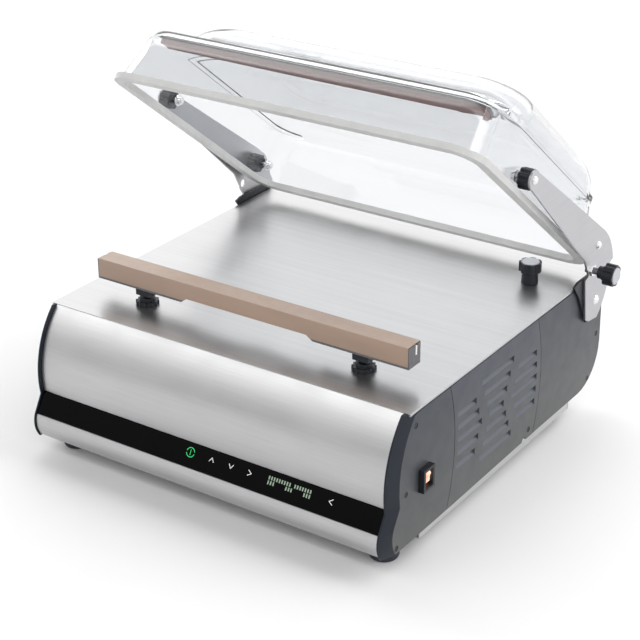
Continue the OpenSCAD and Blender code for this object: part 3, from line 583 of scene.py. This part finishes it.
def solid_block(name, low, high, finish, body):
    """A block between two corners in metres, with softened edges."""
    xs, ys, zs = zip(low, high)
    points = [(x, y, z) for z in zs for y in ys for x in xs]
    faces = [(0, 1, 3, 2), (4, 6, 7, 5), (0, 4, 5, 1), (1, 5, 7, 3), (3, 7, 6, 2), (2, 6, 4, 0)]
    block = piece(name, points, faces, finish, body)
    shade(block, LINER_BREAK)
    return block


LINER_BACK = (2.0 * MM, 5.0 * MM)       # the liner's front and back, behind the bar's middle
LINER_DOWN = (12.2 * MM, 1.6 * MM)      # its bottom and top, below the bar's top


def make_slot_liner():
    """Pale strip in the slot of the bar, seen at the bar's ends."""
    low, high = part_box("seal_bar")
    middle = (low.y + high.y) / 2
    solid_block("slot_liner", (low.x + 0.2 * MM, middle + LINER_BACK[0], high.z - LINER_DOWN[0]),
                (high.x - 0.1 * MM, middle + LINER_BACK[1], high.z - LINER_DOWN[1]),
                "pale_liner", "seal_bar")


# ---------- control strip marks ----------

STRIP_MIDDLE = Vector((0, -39.35 + PLATE_FRONT, -109.35 + PLATE_TOP)) * MM
STRIP_UP = Vector((0, 0.5219, 0.8530))
STRIP_OUT = Vector((0, -0.8530, 0.5219))
MARK_LIFT = 0.06
MARK_SINK = 0.02


def on_strip(x, up, out):
    """A point x along the strip, up its slope and out of its face, all in millimetres."""
    return STRIP_MIDDLE + (Vector((x, 0, 0)) + STRIP_UP * up + STRIP_OUT * out) * MM


def inlay(name, outlines, finish):
    """Thin raised prints on the glass; each outline is a closed loop of (x, up) points."""
    points, faces = [], []
    for outline in outlines:
        start, n = len(points), len(outline)
        points += [on_strip(x, u, -MARK_SINK) for x, u in outline]
        points += [on_strip(x, u, MARK_LIFT) for x, u in outline]
        faces.append(tuple(start + n + i for i in range(n)))
        faces.append(tuple(start + i for i in reversed(range(n))))
        faces += [(start + i, start + (i + 1) % n, start + n + (i + 1) % n, start + n + i) for i in range(n)]
    return piece(name, points, faces, finish, "body", smooth=False)


def stroke(a, b, width):
    """Outline of a straight stroke."""
    along = (Vector(b) - Vector(a)).normalized() * width / 2
    side = Vector((-along.y, along.x))
    corners = (Vector(a) - along + side, Vector(a) - along - side,
               Vector(b) + along - side, Vector(b) + along + side)
    return [tuple(c) for c in corners]


def chevron(x, up, turn, reach=4.2, spread=2.8, width=0.8):
    """Two strokes that meet in a point; turn 0 points to the right, in degrees."""
    a = math.radians(turn)

    def placed(p, q):
        return (x + p * math.cos(a) - q * math.sin(a), up + p * math.sin(a) + q * math.cos(a))
    tip = placed(reach / 2, 0)
    return [stroke(placed(-reach / 2, spread), tip, width), stroke(placed(-reach / 2, -spread), tip, width)]


def ring_part(x, up, r, width, start, end, steps=14):
    """Outline of a stretch of a ring."""
    def at(radius, k):
        a = math.radians(start + (end - start) * k / steps)
        return (x + radius * math.cos(a), up + radius * math.sin(a))
    outer = [at(r + width / 2, k) for k in range(steps + 1)]
    return outer + [at(r - width / 2, k) for k in reversed(range(steps + 1))]


MARKS_UP = 2.6
POWER_X = -14.9
ARROWS = ((14.1, 90), (39.9, -90), (64.9, 0), (169.0, 180))
POWER_R = 5.2
DISPLAY_X = 117.5
CELLS_FROM = -27.5
CELLS = 17
CELL_PITCH = 3.3
CELL_WIDTH = 1.7
CELL_REACH = 1.2                        # half a cell's height, less half its width
ROW_UP = 2.6                            # the upper row above the marks' line
ROW_PITCH = 5.2
ROW_GAPS = ((9,), (3, 4, 5, 6, 10, 11, 12, 13))


def display_rows():
    """Generic lit cells in two rows, as blocks without lettering."""
    cells = []
    for row, gaps in enumerate(ROW_GAPS):
        for k in range(CELLS):
            if k in gaps:
                continue
            x = DISPLAY_X + CELLS_FROM + CELL_PITCH * k
            up = MARKS_UP + ROW_UP - ROW_PITCH * row
            cells.append(stroke((x, up - CELL_REACH), (x, up + CELL_REACH), CELL_WIDTH))
    return cells


def make_marks():
    """Lit power sign, arrows and display cells on the control strip."""
    FINISHES["mark_green"] = lit("mark_green", (0.01, 0.42, 0.10), 0.55)
    FINISHES["mark_pale"] = lit("mark_pale", (0.62, 0.63, 0.62), 0.30)
    FINISHES["display_glow"] = lit("display_glow", (0.20, 0.27, 0.20), 0.35)
    power = [ring_part(POWER_X, MARKS_UP, POWER_R, 0.9, 12, 168),
             ring_part(POWER_X, MARKS_UP, POWER_R, 0.9, 192, 348),
             stroke((POWER_X, MARKS_UP - 2.8), (POWER_X, MARKS_UP + 2.8), 0.8)]
    inlay("power_mark", power, "mark_green")
    arrows = [line for x, turn in ARROWS for line in chevron(x, MARKS_UP, turn)]
    inlay("arrow_marks", arrows, "mark_pale")
    inlay("display_rows", display_rows(), "display_glow")


# ---------- stage ----------

FLOOR_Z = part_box("rubber_feet")[0].z
FLOOR_REACH = 14.0


def make_floor():
    side = FLOOR_REACH
    mesh = bpy.data.meshes.new("floor")
    mesh.from_pydata([(-side, -side, FLOOR_Z), (side, -side, FLOOR_Z), (side, side, FLOOR_Z),
                      (-side, side, FLOOR_Z)], [], [(0, 1, 2, 3)])
    floor = bpy.data.objects.new("floor", mesh)
    bpy.context.scene.collection.objects.link(floor)
    finish = Finish("floor_paper", (0.73, 0.73, 0.735), 0.6)
    finish.bsdf.inputs["Specular IOR Level"].default_value = 0.2
    finish.mottle(0.4, 0.01)
    mesh.materials.append(finish.mat)


def softbox(name, at, size, power, aim=(0, 0, 0.15)):
    """A rectangular lamp that faces a point in the middle of the machine."""
    data = bpy.data.lights.new(name, "AREA")
    data.shape = "RECTANGLE"
    data.size, data.size_y = size
    data.energy = power
    lamp = bpy.data.objects.new(name, data)
    lamp.location = at
    lamp.rotation_euler = (Vector(aim) - Vector(at)).to_track_quat("-Z", "Y").to_euler()
    bpy.context.scene.collection.objects.link(lamp)


# Brightness of the room by the pitch of the direction about the X axis: 0 level behind, 1 level in front
ROOM = (
    (0.0, 1.45), (0.17, 1.55), (0.30, 1.6), (0.33, 3.4), (0.40, 3.4), (0.44, 0.22), (0.62, 0.22),
    (0.66, 3.0), (0.70, 2.3), (0.756, 1.7), (0.822, 1.2), (0.878, 0.88), (0.944, 0.68), (1.0, 0.60))
ROOM_PEAK = 4.0


def make_light():
    """A bright room with a light strip and a dark band in its ceiling, and one soft light from the right."""
    world = bpy.data.worlds.new("studio")
    bpy.context.scene.world = world
    world.use_nodes = True
    tree = world.node_tree
    back = tree.nodes["Background"]
    coords = tree.nodes.new("ShaderNodeTexCoord")
    split = tree.nodes.new("ShaderNodeSeparateXYZ")
    pitch = tree.nodes.new("ShaderNodeMath")
    pitch.operation = "ARCTAN2"
    share = tree.nodes.new("ShaderNodeMath")
    share.operation = "DIVIDE"
    share.inputs[1].default_value = math.pi
    ramp = tree.nodes.new("ShaderNodeValToRGB")
    ramp.color_ramp.interpolation = "EASE"
    marks = ramp.color_ramp.elements
    while len(marks) < len(ROOM):
        marks.new(0.5)
    for mark, (at, value) in zip(marks, ROOM):
        mark.position = at
        mark.color = (value / ROOM_PEAK, value / ROOM_PEAK, value / ROOM_PEAK, 1)
    tree.links.new(coords.outputs["Generated"], split.inputs["Vector"])
    tree.links.new(split.outputs["Z"], pitch.inputs[0])
    tree.links.new(split.outputs["Y"], pitch.inputs[1])
    tree.links.new(pitch.outputs["Value"], share.inputs[0])
    tree.links.new(share.outputs["Value"], ramp.inputs["Fac"])
    tree.links.new(ramp.outputs["Color"], back.inputs["Color"])
    back.inputs["Strength"].default_value = ROOM_PEAK
    softbox("right_fill", (2.2, 0.9, 1.6), (1.2, 1.2), 12)


make_camera()
make_light()
make_floor()
dress_nodes()
make_lid_shell()
make_marks()
make_slot_liner()

bpy.context.scene.view_settings.view_transform = "Standard"
